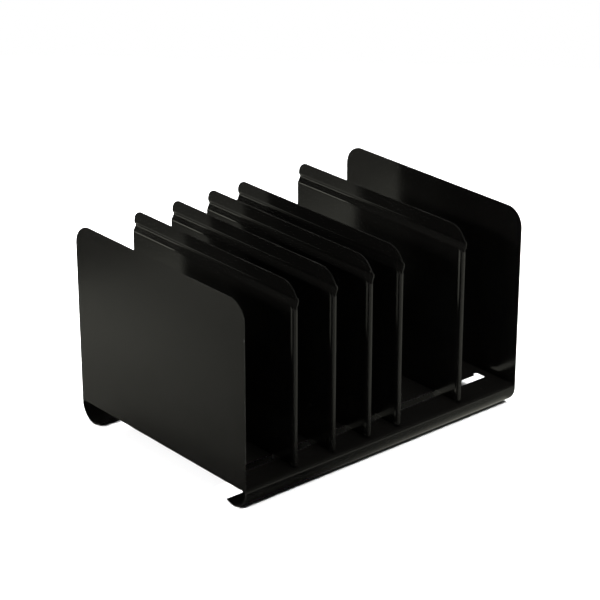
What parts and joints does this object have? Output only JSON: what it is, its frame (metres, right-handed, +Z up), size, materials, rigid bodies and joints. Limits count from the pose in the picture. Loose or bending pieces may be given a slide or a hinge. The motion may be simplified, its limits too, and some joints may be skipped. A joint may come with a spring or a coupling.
{
  "type": "adjustable book rack",
  "caption": "Desktop book rack of black sheet steel with rolled feet, end panels and upright dividers that slide sideways along two floor slots.",
  "frame": {"origin": "on the table, under the middle of the rack's width and depth", "axes": "+X along the row of books to the right as seen from the front, +Y to the back, +Z up"},
  "size_m": [0.381, 0.2794, 0.2298],
  "materials": {
    "black_enamel_body": "satin black baked enamel",
    "black_enamel_dividers": "satin black baked enamel",
    "black_enamel_clips": "satin black baked enamel, rubbed at the toes",
    "black_rubber": "matt"
  },
  "bodies": {
    "rack_body": {"base_plate": "black_enamel_body", "left_end_panel": "black_enamel_body", "right_end_panel": "black_enamel_body", "front_left_foot_pad": "black_rubber", "front_right_foot_pad": "black_rubber", "rear_left_foot_pad": "black_rubber", "rear_right_foot_pad": "black_rubber"},
    "sliding_divider_1": {"divider_1": "black_enamel_dividers", "divider_1_front_clip": "black_enamel_clips", "divider_1_rear_clip": "black_enamel_clips"},
    "sliding_divider_2": {"divider_2": "black_enamel_dividers", "divider_2_front_clip": "black_enamel_clips", "divider_2_rear_clip": "black_enamel_clips"},
    "sliding_divider_3": {"divider_3": "black_enamel_dividers", "divider_3_front_clip": "black_enamel_clips", "divider_3_rear_clip": "black_enamel_clips"},
    "sliding_divider_4": {"divider_4": "black_enamel_dividers", "divider_4_front_clip": "black_enamel_clips", "divider_4_rear_clip": "black_enamel_clips"},
    "sliding_divider_5": {"divider_5": "black_enamel_dividers", "divider_5_front_clip": "black_enamel_clips", "divider_5_rear_clip": "black_enamel_clips"}
  },
  "joints": [
    {"name": "divider_1_slide", "type": "slide", "parent": "rack_body", "child": "sliding_divider_1", "axis": [1, 0, 0], "range_m": [-0.059, 0.018]},
    {"name": "divider_2_slide", "type": "slide", "parent": "rack_body", "child": "sliding_divider_2", "axis": [1, 0, 0], "range_m": [-0.018, 0.017]},
    {"name": "divider_3_slide", "type": "slide", "parent": "rack_body", "child": "sliding_divider_3", "axis": [1, 0, 0], "range_m": [-0.017, 0.0135]},
    {"name": "divider_4_slide", "type": "slide", "parent": "rack_body", "child": "sliding_divider_4", "axis": [1, 0, 0], "range_m": [-0.0135, 0.037]},
    {"name": "divider_5_slide", "type": "slide", "parent": "rack_body", "child": "sliding_divider_5", "axis": [1, 0, 0], "range_m": [-0.037, 0.057]}
  ]
}
